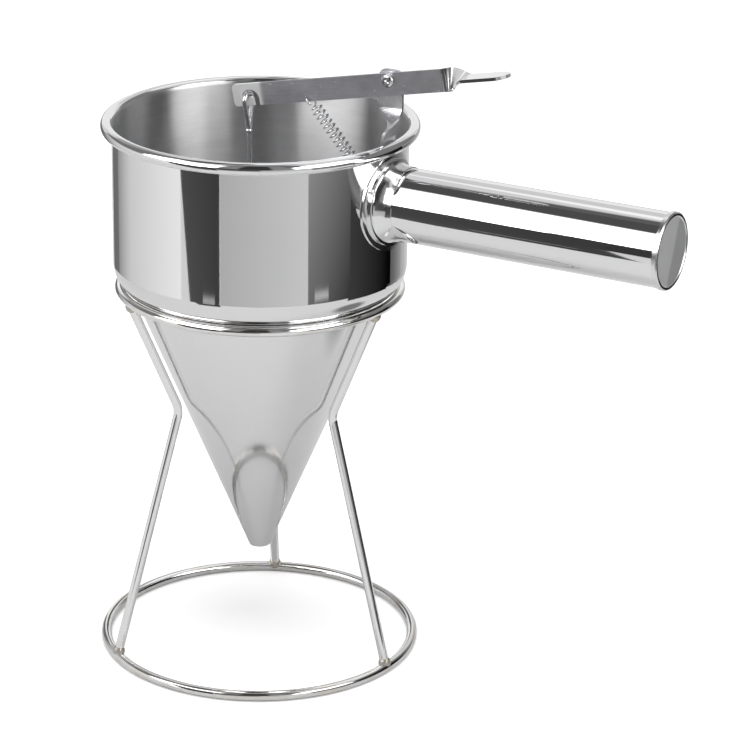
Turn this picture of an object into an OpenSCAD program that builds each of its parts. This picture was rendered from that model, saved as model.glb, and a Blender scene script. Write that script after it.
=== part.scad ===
// Pancake batter dispenser: a steel funnel with a hollow handle and a spring lever that
// lifts a valve rod out of the spout, standing in a wire stand.
// Millimetres. The origin is on the table, on the funnel's axis. +Z is up and the handle
// points along +X.

/* [Bowl] */
// Outer diameter of the bowl's straight wall
bowl_d = 135; // [128:1:142]
// Thickness of the bowl and cone sheet
sheet = 0.8; // [0.6:0.1:1.1]
// Height of the straight wall, from the shoulder's start to the centre of the rolled rim
wall_h = 64.2; // [56:0.2:90]
// Outer radius of the rolled rim
curl_r = 2.9; // [2.2:0.1:3.4]
// Gap left where the rolled edge comes back to the wall
curl_gap = 0.35; // [0.2:0.05:0.8]
// Outer radius of the rounded shoulder under the wall
shoulder_r = 15; // [13:0.5:17]
// How far the shoulder turns inwards before its seam with the cone, in degrees
seam_turn = 63.5; // [58:0.5:68]

/* [Cone] */
// Half angle of the cone, in degrees
cone_angle = 22.8; // [21.5:0.1:24.5]
// Diameter of the outlet
outlet_d = 8; // [6:0.5:11]

/* [Stand] */
// Centreline diameter of the base ring
base_d = 146; // [136:1:160]
// Wire diameter of the base ring
base_wire = 4.8; // [4:0.1:6]
// How far the centreline of the upper ring lies inside the bowl's wall
ring_inset = 2.9; // [1.6:0.1:4]
// Wire diameter of the upper ring
ring_wire = 4.4; // [3.6:0.1:5]
// Height of the upper ring's centreline above the table
stand_h = 177.1; // [165:0.5:200]
// Wire diameter of the legs
leg_wire = 4.2; // [3.4:0.1:4.6]
// Number of legs
leg_count = 3; // [3]
// Direction of the first leg, in degrees from the handle
leg_turn = -6; // [-30:1:30]
// Height of the bend in the legs
knee_z = 121.4; // [100:0.5:140]
// Radius of the bend in the legs, on the centreline
knee_bend = 12; // [8:0.5:18]
// Space between the legs and the cone
leg_gap = 2.2; // [1:0.1:4]
// Radius of the weld beads on the stand
bead_r = 2.9; // [2.6:0.1:3.4]
// Clearance between the shoulder and the upper ring
seat_gap = 0.3; // [0.2:0.05:0.5]

/* [Handle] */
// Outer diameter of the handle tube
handle_d = 33.4; // [28:0.2:38]
// Wall of the handle tube
handle_wall = 1; // [0.8:0.1:2]
// Length of the handle, from the bowl wall to the face of its end cap
handle_len = 136.3; // [110:0.5:160]
// Distance of the handle's axis below the centre of the rolled rim
handle_drop = 25.9; // [25:0.1:34]
// Diameter of the root plate that lies on the bowl wall
plate_d = 44.4; // [42:0.2:45]
// Thickness of the root plate
plate_t = 0.8; // [0.6:0.1:1.2]
// Outer diameter of the collar's foot ring
collar_d = 39.4; // [38.4:0.1:39.8]
// Height of the collar's foot ring above the root plate
collar_h = 1.8; // [0.8:0.1:2.4]
// How far the flared neck stands out from the bowl wall
neck_len = 8.5; // [6:0.5:12]
// How much the neck is wider than the tube at its foot
neck_flare = 2.2; // [1.6:0.1:2.4]
// Thickness of the neck's thin end
neck_edge = 0.3; // [0.2:0.05:0.6]
// Thickness of the end cap's rim
cap_t = 2.4; // [1.6:0.1:4]
// How far the end cap stands proud of the tube
cap_lip = 0.6; // [0.3:0.1:1.2]
// Depth of the shallow recess in the end cap
cap_recess = 0.4; // [0.2:0.1:0.8]
// Length of the end cap's spigot inside the tube
spigot_len = 6; // [3:0.5:12]
// Clearance between the spigot and the tube's bore
spigot_gap = 0.05; // [0.02:0.01:0.1]

/* [Lever] */
// Width of the lever strip
lever_w = 10.2; // [9.4:0.1:12]
// Thickness of the lever strip
lever_t = 1.5; // [1.2:0.1:2]
// Rise of the lever towards the thumb pad at rest, in degrees
lever_tilt = 12; // [9:0.5:15]
// Distance from the pivot to the lever's hooked end
arm_len = 81.3; // [79:0.1:83]
// Distance from the pivot to the start of the twist
flat_len = 26.6; // [18:0.2:34]
// Length of the quarter twist in the lever
twist_len = 12.4; // [9:0.2:18]
// Length of the thumb pad
pad_len = 20.4; // [15:0.2:30]
// Width of the thumb pad
pad_w = 12; // [10:0.2:15]
// Distance of the pivot below the lever's upper edge
pivot_drop = 3.3; // [3:0.1:4]
// Height of the pivot above the centre of the rolled rim
pivot_rise = 31; // [29:0.2:36]
// Distance of the pivot inside the bowl wall's outer face
pivot_in = 0.5; // [0:0.1:2]
// Distance of the lever's middle plane from the funnel's axis, towards the front
lever_front = 3.25; // [2.6:0.05:4]
// Corner radius at the lever's hooked end
lever_corner = 1.8; // [1:0.1:2.4]
// Distance from the lever's hooked end to the centre of the hook slot
hook_end = 8.8; // [7.8:0.1:9.8]
// Distance of the hook slot's centre below the pivot, across the lever
hook_drop = 4.3; // [4.1:0.1:4.5]
// Radius of the hook slot's centreline
hook_r = 3.1; // [3:0.05:3.3]
// Width of the hook slot
hook_w = 3.3; // [3.2:0.05:3.4]
// How far the hook slot runs round from its open leg, in degrees
hook_sweep = 138; // [132:1:146]

/* [Pivot] */
// Diameter of the pivot screw's shank
screw_d = 3; // [2.5:0.1:4]
// Diameter of the pivot screw's head
screw_head_d = 6; // [5.4:0.1:7]
// Height of the pivot screw's head
screw_head_h = 2; // [1.4:0.1:2.6]
// Radial clearance of the shank in its holes
pin_gap = 0.05; // [0.02:0.01:0.09]
// Clearance on each side of the lever
side_gap = 0.3; // [0.2:0.05:0.5]
// Thickness of the spacer washer
washer_t = 0.5; // [0.3:0.1:0.8]
// Diameter of the spacer washer
washer_d = 7; // [6:0.1:9]
// Width of the nut across its flats
nut_w = 5.5; // [5:0.1:7]
// Height of the nut
nut_h = 2.4; // [2:0.1:3.2]
// How far the screw's thread stands out of the nut
thread_end = 0.8; // [0.4:0.1:2]

/* [Bracket] */
// Width of the bracket strip
bracket_w = 11.8; // [10:0.2:13]
// Thickness of the bracket strip
bracket_t = 1.5; // [1:0.1:1.8]
// Height of the bracket's top above the pivot
bracket_top = 4.4; // [3.4:0.1:6]
// Corner radius at the bracket's top
bracket_corner = 3.5; // [2:0.1:5]
// Distance of the twist's start below the pivot
bracket_web = 12; // [8.5:0.1:13]
// Length of the bracket's quarter twist
bracket_twist = 15; // [13:0.2:15.6]
// Height of the bracket's flange on the bowl wall
flange_h = 27; // [22:0.2:30]
// Length of the spring tab, from the flange's inner face
tab_len = 6.4; // [5:0.1:8]
// Width of the spring tab
tab_w = 6.4; // [5:0.2:9]
// Radius of the welds along the flange
flange_bead_r = 0.8; // [0.6:0.1:1]

/* [Valve] */
// Wire diameter of the valve rod
rod_d = 2.1; // [1.8:0.05:2.2]
// Radius of the bend at the top of the rod's loop, on the centreline
loop_r = 3.3; // [3:0.1:4]
// Height of the rod's loop
loop_h = 17.5; // [14:0.5:22]
// Direction in which the rod's wire sits in the hook slot, in degrees round the slot
loop_seat = 110; // [106:1:114]
// How far the rod's wire sits outside the slot's centreline
loop_lift = 0.15; // [0.05:0.05:0.2]
// Length of the plug's sealing cone
plug_h = 10; // [7:0.5:14]
// Height of the plug's sealing cone above the outlet
plug_rise = 5; // [4:0.5:8]
// Radius of the plug's flat nose
plug_nose_r = 3; // [2:0.1:3.6]
// Height of the plug's neck
plug_neck_h = 6; // [4:0.5:9]
// Bevel round the plug's upper edge
plug_bevel = 1; // [0.4:0.1:1.4]
// Clearance between the plug and the cone
plug_gap = 0.3; // [0.2:0.05:0.5]
// Depth of the rod's socket in the plug
socket_h = 9; // [6:0.5:12]

/* [Spring] */
// Wire diameter of the return spring
spring_wire = 0.85; // [0.6:0.05:1]
// Mean diameter of the return spring's coil
coil_d = 5.1; // [4:0.1:6]
// Number of turns in the coil
coil_turns = 16; // [10:1:18]
// Length of the coil
coil_len = 40; // [34:0.5:41]
// Distance from the pivot to the spring's hole, along the lever
spring_arm = 42.9; // [40:0.1:46]
// Distance of the spring's hole above the lever's lower edge
spring_edge = 2.7; // [2.3:0.1:3.2]
// Radius of the spring's end loop in the lever
lever_loop_r = 2.8; // [2.5:0.1:3.2]
// Radius of the spring's end loop in the tab
tab_loop_r = 2; // [1.8:0.1:2.4]
// Clearance of the spring's wire in its holes
spring_gap = 0.35; // [0.2:0.05:0.5]

/* [Hidden] */
// Facets of round shapes
$fn = 64;
// Overlap that makes a cut run clean through
cut = 1;
// How much thicker a bent piece of wire is than a straight one
swell = 0.04;
// How far joined pieces reach into each other
join = 0.3;

// Places of the funnel, worked out from its seat on the upper ring
bowl_r = bowl_d / 2;
bowl_in = bowl_r - sheet;
shoulder_x = bowl_r - shoulder_r;
seam_r = shoulder_x + shoulder_r * cos(seam_turn);
ring_r = bowl_r - ring_inset;
seat_reach = shoulder_r + seat_gap + ring_wire / 2;
shoulder_z = stand_h + sqrt(pow(seat_reach, 2) - pow(ring_r - shoulder_x, 2));
seam_z = shoulder_z - shoulder_r * sin(seam_turn);
seam_in = [shoulder_x + (shoulder_r - sheet) * cos(seam_turn),
           shoulder_z - (shoulder_r - sheet) * sin(seam_turn)];
rim_z = shoulder_z + wall_h;
curl_x = bowl_in + curl_r;
outlet_r = outlet_d / 2;
tip_r = outlet_r + sheet / cos(cone_angle);
tip_z = seam_z - (seam_r - tip_r) / tan(cone_angle);
inner_slope = (seam_in.x - outlet_r) / (seam_in.y - tip_z);

// Outer radius of the cone at a height
function cone_r(z) = tip_r + (z - tip_z) * tan(cone_angle);
// Inner radius of the cone at a height
function cone_in(z) = outlet_r + (z - tip_z) * inner_slope;

// Places of the stand
base_r = base_d / 2;
base_z = base_wire / 2;
leg_foot = [base_r, 0, base_z];
leg_knee = [cone_r(knee_z) + (leg_gap + leg_wire / 2) / cos(cone_angle), 0, knee_z];
leg_head = [ring_r, 0, stand_h];

// Places of the handle
handle_r = handle_d / 2;
handle_z = rim_z - handle_drop;
handle_end = bowl_r + handle_len;
tube_end = handle_end - cap_t;

// Places of the lever. Its own frame has u along the strip and v up across it.
pivot_x = bowl_r - pivot_in;
pivot_z = rim_z + pivot_rise;
lever_y = -lever_front;
lever_top = pivot_drop;
lever_bottom = pivot_drop - lever_w;
lever_mid = pivot_drop - lever_w / 2;
hook_at = [hook_end - arm_len, -hook_drop];
spring_at = [-spring_arm, lever_bottom + spring_edge];

// Place in the world of a point of the lever's middle plane
function on_lever(p) = [pivot_x + p.x * cos(lever_tilt) - p.y * sin(lever_tilt), lever_y,
                        pivot_z + p.x * sin(lever_tilt) + p.y * cos(lever_tilt)];

// Stack of pieces on the pivot screw, from the front to the back
head_y = lever_y - lever_t / 2 - side_gap;
washer_y = lever_y + lever_t / 2 + side_gap;
web_y = washer_y + washer_t;
nut_y = web_y + bracket_t;
screw_end = nut_y + nut_h + thread_end;

// Places of the bracket
web_mid = web_y + bracket_t / 2;
twist_top = pivot_z - bracket_web;
flange_top = twist_top - bracket_twist;
flange_z = flange_top - flange_h;
flange_reach = bracket_w / 2 + abs(web_mid);
flange_x = sqrt(pow(bowl_in, 2) - pow(flange_reach, 2));
tab_tip = flange_x - bracket_t - tab_len;

// Places of the valve
loop_at = on_lever(hook_at + [cos(loop_seat), sin(loop_seat)] * (hook_r + loop_lift));
plug_z = tip_z + plug_rise;
plug_top = plug_z + plug_h;
plug_end = plug_top + plug_neck_h;
rod_foot = [0, 0, plug_end - socket_h];
rod_run = loop_at - rod_foot;
rod_len = norm(rod_run);
rod_lean = [asin(-rod_run.y / rod_len), atan2(rod_run.x, rod_run.z), 0];

// Ends of the spring, where its loops pass through the lever and the tab
lever_eye = on_lever(spring_at);
tab_eye = [tab_tip + tab_loop_r, web_mid, flange_z + bracket_t / 2];

steel = [0.78, 0.79, 0.80];
satin = [0.66, 0.67, 0.69];
dark_steel = [0.55, 0.56, 0.58];

// A straight round bar between two points
module bar(a, b, d) {
    run = b - a;
    translate(a)
        rotate([0, acos(run.z / norm(run)), atan2(run.y, run.x)])
            cylinder(h = norm(run), d = d);
}

// A ring of round wire
module wire_ring(r, z, d) {
    translate([0, 0, z]) rotate_extrude() translate([r, 0]) circle(d = d);
}

// A flat plate that stands in the XZ plane, with its front face at y
module upright_plate(y, t) {
    translate([0, y + t, 0]) rotate([90, 0, 0]) linear_extrude(t) children();
}

// Everything inside is placed in the lever's own frame, with the pivot at the origin
module lever_frame() {
    translate([pivot_x, 0, pivot_z]) rotate([0, -lever_tilt, 0]) children();
}

// A rectangle with rounded corners, from its lowest to its highest corner
module round_rect(low, high, r) {
    translate([low.x + r, low.y]) square([high.x - low.x - 2 * r, high.y - low.y]);
    translate([low.x, low.y + r]) square([high.x - low.x, high.y - low.y - 2 * r]);
    for (x = [low.x + r, high.x - r], y = [low.y + r, high.y - r])
        translate([x, y]) circle(r);
}

// A pie slice from angle a to angle b, for cutting arcs out of circles
module slice(a, b, r) {
    steps = 8;
    polygon(concat([[0, 0]], [for (i = [0:steps])
        let (t = a + (b - a) * i / steps) [r * cos(t), r * sin(t)]]));
}

// Smooth start and finish for a twist
function ease(t) = t * t * (3 - 2 * t);

// A strip that twists by a quarter turn as it runs along +X from the origin. Its width
// starts along Z and ends along Y, and its middle shifts sideways by the given distance.
// Both ends are a little thinner than the flat parts and reach into them.
module twisted_strip(len, w0, w1, t, turn, shift) {
    steps = 20;
    stations = [-join, each [for (i = [0:steps]) len * i / steps], len + join];
    rings = [for (x = stations)
        let (f = min(max(x / len, 0), 1), a = turn * ease(f), w = w0 + (w1 - w0) * f - swell,
             m = shift * ease(f))
        for (c = [[-1, -1], [1, -1], [1, 1], [-1, 1]])
            let (p = c.x * (t - swell) / 2, q = c.y * w / 2)
                [x, p * cos(a) - q * sin(a), m + p * sin(a) + q * cos(a)]];
    last = 4 * (len(stations) - 1);
    sides = [for (i = [0:len(stations) - 2], k = [0:3])
        let (a = 4 * i + k, b = 4 * i + (k + 1) % 4) each [[b, a, b + 4], [b + 4, a, a + 4]]];
    ends = [[0, 1, 2, 3], [last + 3, last + 2, last + 1, last]];
    polyhedron(points = rings, faces = concat(sides, ends));
}

module bowl() {
    color(steel) rotate_extrude($fn = 128) {
        translate([bowl_in, shoulder_z]) square([sheet, wall_h]);
        translate([shoulder_x, shoulder_z]) intersection() {
            difference() {
                circle(shoulder_r);
                circle(shoulder_r - sheet);
            }
            slice(-seam_turn, 0, 2 * shoulder_r);
        }
        translate([curl_x, rim_z]) difference() {
            circle(curl_r);
            circle(curl_r - sheet);
            translate([-curl_r, -curl_r - cut]) square([sheet + curl_gap, curl_r + cut]);
        }
    }
}

module cone() {
    color(satin) rotate_extrude($fn = 128)
        polygon([[tip_r, tip_z], [seam_r, seam_z], seam_in, [outlet_r, tip_z]]);
}

// The handle's own frame: its axis along +Z, from the funnel's axis outwards
module handle_frame() {
    translate([0, 0, handle_z]) rotate([0, 90, 0]) children();
}

// The space taken by the bowl, which every piece of the handle is fitted against
module bowl_space(r) {
    translate([0, 0, handle_z - plate_d]) cylinder(h = 2 * plate_d, r = r, $fn = 128);
}

module handle_plate() {
    color(steel) difference() {
        intersection() {
            bowl_space(bowl_r + plate_t);
            handle_frame() cylinder(h = bowl_d, d = plate_d);
        }
        bowl_space(bowl_r);
        handle_frame() cylinder(h = bowl_d, d = handle_d);
    }
}

module handle_collar() {
    neck_end = bowl_r + neck_len;
    neck_start = bowl_r - neck_len;
    flare = neck_flare - neck_edge;
    run = neck_len - plate_t;
    flare_r = (run * run + flare * flare) / (2 * flare);
    color(steel) difference() {
        union() {
            intersection() {
                bowl_space(bowl_r + plate_t + collar_h);
                handle_frame() cylinder(h = bowl_d, d = collar_d);
            }
            handle_frame() rotate_extrude() difference() {
                translate([0, neck_start]) square([handle_r + neck_flare, 2 * neck_len]);
                translate([handle_r + neck_edge + flare_r, neck_end]) circle(flare_r, $fn = 128);
            }
        }
        bowl_space(bowl_r + plate_t);
        handle_frame() cylinder(h = 2 * bowl_d, d = handle_d);
    }
}

module handle_tube() {
    color(steel) difference() {
        handle_frame() cylinder(h = tube_end, d = handle_d);
        handle_frame() translate([0, 0, -cut])
            cylinder(h = handle_end, r = handle_r - handle_wall);
        bowl_space(bowl_r);
    }
}

module handle_cap() {
    lip_r = handle_r + cap_lip;
    bevel = cap_lip;
    face_r = handle_r - handle_wall;
    spigot_r = handle_r - handle_wall - spigot_gap;
    color(dark_steel) handle_frame() translate([0, 0, tube_end]) rotate_extrude()
        polygon([[0, -spigot_len], [spigot_r - bevel, -spigot_len], [spigot_r, bevel - spigot_len],
                 [spigot_r, 0], [lip_r, 0], [lip_r, cap_t - bevel], [lip_r - bevel, cap_t],
                 [face_r, cap_t], [face_r - cap_recess, cap_t - cap_recess],
                 [0, cap_t - cap_recess]]);
}

module lever_bracket() {
    color(satin) {
        upright_plate(web_y, bracket_t) difference() {
            round_rect([pivot_x - bracket_w / 2, twist_top - bracket_corner],
                       [pivot_x + bracket_w / 2, pivot_z + bracket_top], bracket_corner);
            translate([pivot_x - bracket_w, twist_top - bracket_w])
                square([2 * bracket_w, bracket_w]);
            translate([pivot_x, pivot_z]) circle(screw_d / 2 + pin_gap);
        }
        translate([pivot_x, web_mid, twist_top]) rotate([0, 90, 0])
            twisted_strip(bracket_twist, bracket_w, bracket_w, bracket_t, 90,
                          flange_x - bracket_t / 2 - pivot_x);
        translate([flange_x - bracket_t, web_mid - bracket_w / 2, flange_z])
            cube([bracket_t, bracket_w, flange_h]);
        difference() {
            translate([tab_tip, web_mid - tab_w / 2, flange_z])
                cube([tab_len + bracket_t / 2, tab_w, bracket_t]);
            translate([tab_eye.x, web_mid, flange_z - cut])
                cylinder(h = bracket_t + 2 * cut, d = spring_wire + 2 * spring_gap);
        }
    }
}

module bracket_welds() {
    weld_h = flange_h / 3;
    color(dark_steel) intersection() {
        for (y = [web_mid - bracket_w / 2, web_mid + bracket_w / 2])
            translate([flange_x, y, flange_z + flange_h / 2 - weld_h / 2])
                cylinder(h = weld_h, r = flange_bead_r);
        difference() {
            translate([0, 0, flange_z]) cylinder(h = flange_h, r = bowl_in, $fn = 720);
            translate([0, web_mid - bracket_w / 2, 0]) cube([flange_x, bracket_w, pivot_z]);
        }
    }
}

module pivot_screw() {
    recess = screw_head_d / 2;
    recess_w = screw_head_d / 8;
    recess_turn = 20;
    dome = 0.5;
    color(steel) translate([pivot_x, head_y, pivot_z]) rotate([-90, 0, 0]) {
        translate([0, 0, -dome])
            cylinder(h = screw_end - head_y, d = screw_d);
        difference() {
            translate([0, 0, -screw_head_h]) rotate_extrude()
                polygon([[0, 0], [screw_head_d / 2 - dome * 2, 0], [screw_head_d / 2 - dome / 2, dome],
                         [screw_head_d / 2, dome * 2], [screw_head_d / 2, screw_head_h],
                         [0, screw_head_h]]);
            for (a = [0, 90])
                rotate([0, 0, a + recess_turn]) translate([-recess / 2, -recess_w / 2, -screw_head_h - cut])
                    cube([recess, recess_w, cut + screw_head_h / 2]);
        }
    }
}

// A flat ring on the pivot, with its front face at y
module pivot_ring(y, h, d, facets) {
    translate([pivot_x, y, pivot_z]) rotate([-90, 0, 0]) difference() {
        cylinder(h = h, d = d, $fn = facets);
        translate([0, 0, -cut]) cylinder(h = h + 2 * cut, r = screw_d / 2 + pin_gap);
    }
}

module pivot_washer() {
    color(dark_steel) pivot_ring(washer_y, washer_t, washer_d, $fn);
}

module pivot_nut() {
    sides = 6;
    color(dark_steel) pivot_ring(nut_y, nut_h, nut_w / cos(180 / sides), sides);
}

// Points along an arc from angle a to angle b
function arc(centre, r, a, b, steps) = [for (i = [0:steps])
    let (t = a + (b - a) * i / steps) centre + [cos(t), sin(t)] * r];

// The slot in the lever's end: an arch with a round end that opens at the lower edge
module hook_slot() {
    outer = hook_r + hook_w / 2;
    inner = hook_r - hook_w / 2;
    round_end = [cos(hook_sweep), sin(hook_sweep)] * hook_r;
    inset = 15;
    translate(hook_at)
        polygon(concat([[outer, -lever_w]], arc([0, 0], outer, 0, hook_sweep, 24),
                       arc(round_end, hook_w / 2, hook_sweep + inset, hook_sweep + 180 - inset, 10),
                       arc([0, 0], inner, hook_sweep, 0, 16), [[inner, -lever_w]]));
}

module lever() {
    pad_start = flat_len + twist_len;
    pad_end = pad_start + pad_len;
    color(satin) lever_frame() {
        upright_plate(lever_y - lever_t / 2, lever_t) difference() {
            union() {
                round_rect([-arm_len, lever_bottom], [0, lever_top], lever_corner);
                translate([-arm_len / 2, lever_bottom]) square([arm_len / 2 + flat_len, lever_w]);
            }
            circle(screw_d / 2 + pin_gap);
            translate(spring_at) circle(spring_wire / 2 + spring_gap);
            hook_slot();
        }
        translate([flat_len, lever_y, lever_mid])
            twisted_strip(twist_len, lever_w, pad_w, lever_t, -90, 0);
        translate([0, 0, lever_mid - lever_t / 2]) linear_extrude(lever_t) {
            translate([pad_start, lever_y - pad_w / 2]) square([pad_len - pad_w / 2, pad_w]);
            translate([pad_end - pad_w / 2, lever_y]) circle(pad_w / 2);
        }
    }
}

module valve_rod() {
    neck = rod_len - loop_h;
    centre = rod_len - loop_r;
    taper = asin(loop_r / (centre - neck));
    strand = sqrt(pow(centre - neck, 2) - pow(loop_r, 2));
    bead = 1.5;
    color(steel) translate(rod_foot) rotate(rod_lean) {
        cylinder(h = neck, d = rod_d);
        translate([0, 0, neck]) {
            sphere(d = rod_d * bead);
            for (side = [-1, 1])
                rotate([side * taper, 0, 0]) cylinder(h = strand + join, d = rod_d);
        }
        translate([0, 0, centre]) rotate([90, 0, 90]) rotate([0, 0, -taper])
            rotate_extrude(angle = 180 + 2 * taper) translate([loop_r, 0])
                circle(d = rod_d + swell);
    }
}

module valve_plug() {
    slack = plug_gap / cos(cone_angle);
    low_r = cone_in(plug_z) - slack;
    high_r = cone_in(plug_top) - slack;
    neck_r = rod_d;
    nose_z = plug_z - (low_r - plug_nose_r) / 2;
    color(steel) difference() {
        rotate_extrude()
            polygon([[0, nose_z], [plug_nose_r, nose_z], [low_r, plug_z], [high_r, plug_top],
                     [high_r - plug_bevel, plug_top + plug_bevel],
                     [neck_r + plug_bevel, plug_top + plug_neck_h / 2],
                     [neck_r, plug_end], [0, plug_end]]);
        translate(rod_foot) rotate(rod_lean) cylinder(h = loop_h, r = rod_d / 2 + pin_gap);
    }
}

// A point on a cubic curve
function curve(a, b, c, d, t) =
    a * pow(1 - t, 3) + b * 3 * t * pow(1 - t, 2) + c * 3 * t * t * (1 - t) + d * pow(t, 3);
function unit(v) = v / norm(v);
// The part of v that lies square to the direction d, as a unit vector
function square_to(v, d) = unit(v - d * (v * d));

// A round wire swept along a list of points, as one closed mesh
module swept_wire(pts, d, sides) {
    n = len(pts);
    dirs = [for (i = [0:n - 1]) unit(pts[min(i + 1, n - 1)] - pts[max(i - 1, 0)])];
    norms = [for (i = 0, v = square_to([0.3, 1, 0.2], dirs[0]); i < n;
                  i = i + 1, v = i < n ? square_to(v, dirs[i]) : v) v];
    rings = [for (i = [0:n - 1], k = [0:sides - 1])
        let (a = 360 * k / sides, w = cross(dirs[i], norms[i]))
            pts[i] + (norms[i] * cos(a) + w * sin(a)) * d / 2];
    skin = [for (i = [0:n - 2], k = [0:sides - 1])
        let (a = i * sides + k, b = i * sides + (k + 1) % sides)
            each [[a, b + sides, b], [a, a + sides, b + sides]]];
    start = [for (k = [0:sides - 1]) k];
    end = [for (k = [sides - 1:-1:0]) (n - 1) * sides + k];
    polyhedron(points = rings, faces = concat(skin, [start, end]));
}

// Part of a loop of wire round a centre, from angle a to angle b
function wire_turn(centre, across, along, r, a, b) =
    let (steps = 11) [for (i = [0:steps]) let (t = a + (b - a) * i / steps)
        centre + (across * cos(t) + along * sin(t)) * r];
// A smooth run of wire from p to q that leaves along u and arrives along v
function wire_link(p, u, q, v) =
    let (steps = 5, pull = norm(q - p) / 2)
    [for (i = [1:steps - 1]) curve(p, p + u * pull, q - v * pull, q, i / steps)];

// The spring's wire: a loop through the lever, the coil, and a loop through the tab
function spring_path() =
    let (axis = unit(tab_eye - lever_eye), side = square_to([0, 1, 0], axis),
         up = cross(side, axis), lead = (norm(tab_eye - lever_eye) - coil_len) / 2,
         start = lever_eye + axis * lead, segs = 12, count = segs * coil_turns,
         first_start = 215, first_end = -60, tab_start = 150, tab_finish = -100,
         first = wire_turn(lever_eye + axis * lever_loop_r, side, -axis, lever_loop_r,
                           first_start, first_end),
         coil = [for (i = [0:count]) let (a = 180 + 360 * i / segs)
             start + axis * coil_len * i / count + (side * cos(a) + up * sin(a)) * coil_d / 2],
         last = wire_turn(tab_eye - [tab_loop_r, 0, 0], [1, 0, 0], [0, 0, 1], tab_loop_r,
                          tab_start, tab_finish),
         lead_in = wire_link(first[len(first) - 1],
                             side * sin(first_end) + axis * cos(first_end), coil[0], -up),
         lead_out = wire_link(coil[count], -up, last[0],
                              [sin(tab_start), 0, -cos(tab_start)]))
    concat(first, lead_in, coil, lead_out, last);

module return_spring() {
    wire_sides = 6;
    color(steel) swept_wire(spring_path(), spring_wire, wire_sides);
}

module upper_ring() {
    color(steel) wire_ring(ring_r, stand_h, ring_wire, $fn = 96);
}

module base_ring() {
    color(steel) wire_ring(base_r, base_z, base_wire, $fn = 96);
}

// One bent leg, from the base ring in to the knee and out to the upper ring
module leg(index) {
    down = unit(leg_foot - leg_knee);
    up = unit(leg_head - leg_knee);
    half = acos(down * up) / 2;
    tangent = knee_bend / tan(half) - join;
    centre = leg_knee + unit(down + up) * knee_bend / sin(half);
    arc_start = leg_knee + up * knee_bend / tan(half) - centre;
    color(steel) at_leg(index) difference() {
        union() {
            bar(leg_knee + down * tangent, leg_foot, leg_wire);
            bar(leg_knee + up * tangent, leg_head, leg_wire);
            translate(centre) rotate([90, 0, 0]) rotate([0, 0, atan2(arc_start.z, arc_start.x)])
                rotate_extrude(angle = 180 - 2 * half) translate([knee_bend, 0])
                    circle(d = leg_wire + swell);
        }
        wire_ring(base_r, base_z, base_wire, $fn = 96);
        wire_ring(ring_r, stand_h, ring_wire, $fn = 96);
    }
}

module right_leg() {
    leg(0);
}

module back_leg() {
    leg(1);
}

module left_leg() {
    leg(2);
}

// Turns what is inside to the side of one leg
module at_leg(index) {
    rotate([0, 0, leg_turn + 360 * index / leg_count]) children();
}

// One weld bead at the same end of each leg, shaped to the leg and to its ring
module beads(end, ring, wire) {
    along = unit(leg_knee - end);
    for (i = [0:leg_count - 1])
        at_leg(i) difference() {
            translate(end + along * wire / 2) sphere(bead_r, $fn = 32);
            wire_ring(ring, end.z, wire, $fn = 96);
            bar(end, end + along * (wire + 2 * bead_r), leg_wire);
        }
}

module upper_welds() {
    color(dark_steel) beads(leg_head, ring_r, ring_wire);
}

module base_welds() {
    color(dark_steel) beads(leg_foot, base_r, base_wire);
}

bowl();
cone();
handle_plate();
handle_collar();
handle_tube();
handle_cap();
lever_bracket();
bracket_welds();
pivot_screw();
pivot_washer();
pivot_nut();
lever();
valve_rod();
valve_plug();
return_spring();
upper_ring();
base_ring();
right_leg();
back_leg();
left_leg();
upper_welds();
base_welds();
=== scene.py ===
"""Looks of the pancake batter dispenser: finishes, fine wire and small marks on its frame."""

import math

import bmesh
import bpy
from mathutils import Matrix, Vector


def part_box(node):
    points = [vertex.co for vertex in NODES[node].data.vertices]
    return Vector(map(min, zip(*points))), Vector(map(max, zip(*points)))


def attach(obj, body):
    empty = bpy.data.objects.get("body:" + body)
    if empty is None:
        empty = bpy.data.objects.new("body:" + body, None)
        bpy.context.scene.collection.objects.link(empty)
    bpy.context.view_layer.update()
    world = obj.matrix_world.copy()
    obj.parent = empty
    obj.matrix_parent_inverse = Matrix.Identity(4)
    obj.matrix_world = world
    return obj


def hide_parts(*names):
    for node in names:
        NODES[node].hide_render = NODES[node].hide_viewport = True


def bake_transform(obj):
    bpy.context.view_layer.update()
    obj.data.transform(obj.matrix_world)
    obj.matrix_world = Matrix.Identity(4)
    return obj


bl_info = {
    "name": "Batter Dispenser Finish",
    "version": (1, 0, 0),
    "blender": (4, 5, 0),
    "location": "View3D > Sidebar > Dispenser",
    "description": "Steel finishes, return spring, weld marks and studio for a batter dispenser",
    "category": "Object",
}

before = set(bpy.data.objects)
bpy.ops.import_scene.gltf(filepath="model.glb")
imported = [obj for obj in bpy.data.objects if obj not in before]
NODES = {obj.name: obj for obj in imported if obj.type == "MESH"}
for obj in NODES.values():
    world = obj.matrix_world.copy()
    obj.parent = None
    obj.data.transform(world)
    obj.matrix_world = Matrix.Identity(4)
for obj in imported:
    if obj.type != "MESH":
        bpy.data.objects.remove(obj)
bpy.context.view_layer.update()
MM = 0.001
# Half the border between the inside and the outside finish of a sheet
SHEET_BORDER = 0.1 * MM
# How far the bowl's shoulder turns in before it meets the cone
SHOULDER_TURN = math.radians(63.5)
# Roughness of the handle's tube and of its root
TUBE_POLISH = 0.03
ROOT_POLISH = 0.11


# ---------------------------------------------------------------- sizes and colours


def length(name, description, default):
    """A size in metres."""
    return bpy.props.FloatProperty(name=name, description=description, default=default, min=0.0,
                                   precision=5, subtype="DISTANCE", unit="LENGTH")


def angle(name, description, degrees):
    """An angle, with its default given in degrees."""
    return bpy.props.FloatProperty(name=name, description=description,
                                   default=math.radians(degrees), subtype="ANGLE", unit="ROTATION")


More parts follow.
